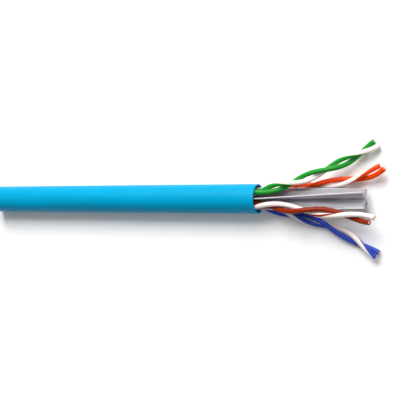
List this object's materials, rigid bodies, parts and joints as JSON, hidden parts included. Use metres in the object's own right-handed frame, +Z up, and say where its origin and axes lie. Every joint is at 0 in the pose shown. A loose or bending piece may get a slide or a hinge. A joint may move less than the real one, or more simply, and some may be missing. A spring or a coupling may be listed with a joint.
{
  "type": "stripped data cable",
  "caption": "Data cable sample: twisted wire pairs and a cross filler fanned out of one stripped end of a round jacket.",
  "frame": {"origin": "centre of the jacket's mouth, on the cable's axis", "axes": "+X along the cable towards the stripped end, +Z up from the surface that the cable lies on"},
  "size_m": [0.107, 0.026, 0.0078],
  "materials": {
    "jacket": "satin bright blue PVC",
    "cross_filler": "grey translucent polyethylene",
    "insulation_green": "green polyethylene, semi-gloss",
    "insulation_white_green": "white polyethylene with a printed green stripe",
    "insulation_orange": "orange polyethylene, semi-gloss",
    "insulation_white_orange": "white polyethylene with a printed orange stripe",
    "insulation_brown": "brown polyethylene, semi-gloss",
    "insulation_white_brown": "white polyethylene with a printed brown stripe",
    "insulation_blue": "blue polyethylene, semi-gloss",
    "insulation_white_blue": "white polyethylene with a printed blue stripe",
    "copper": "bare copper, freshly cut"
  },
  "bodies": {
    "root": {"jacket": "jacket", "cross_filler": "cross_filler", "insulation_green": "insulation_green", "insulation_white_green": "insulation_white_green", "insulation_orange": "insulation_orange", "insulation_white_orange": "insulation_white_orange", "insulation_brown": "insulation_brown", "insulation_white_brown": "insulation_white_brown", "insulation_blue": "insulation_blue", "insulation_white_blue": "insulation_white_blue", "conductor_green": "copper", "conductor_white_green": "copper", "conductor_orange": "copper", "conductor_white_orange": "copper", "conductor_brown": "copper", "conductor_white_brown": "copper", "conductor_blue": "copper", "conductor_white_blue": "copper"}
  },
  "joints": []
}
